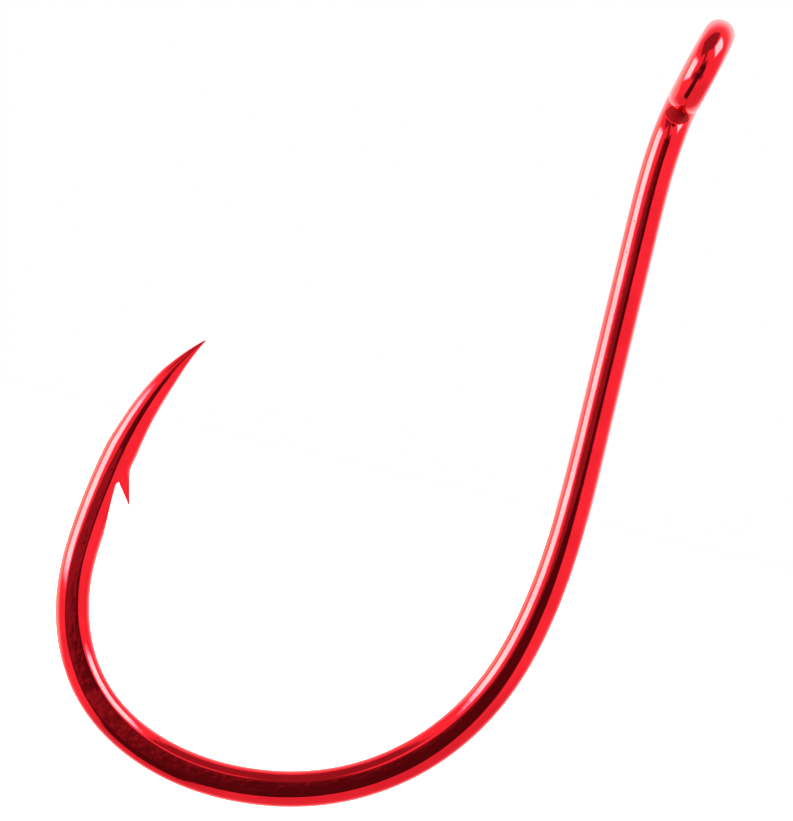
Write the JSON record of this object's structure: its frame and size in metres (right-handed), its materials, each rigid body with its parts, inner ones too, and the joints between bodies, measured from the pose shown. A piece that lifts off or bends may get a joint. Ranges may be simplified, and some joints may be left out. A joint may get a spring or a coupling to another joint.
{
  "type": "single fishing hook",
  "caption": "Single barbed fishing hook bent from one piece of red lacquered steel wire, with a turned-up ring eye, a round forged bend and a curved-in point.",
  "frame": {"origin": "centre of the ring eye, where the line holds the hook", "axes": "the hook lies in the XZ plane with its shank along Z and its eye at the top; the point is on the -X side, the eye is turned up towards +X, and Y goes across the hook"},
  "size_m": [0.0198, 0.0042, 0.0325],
  "materials": {
    "red_lacquered_steel": "bright nickel-plated carbon steel under clear red lacquer, mirror gloss"
  },
  "bodies": {
    "root": {"hook": "red_lacquered_steel"}
  },
  "joints": []
}
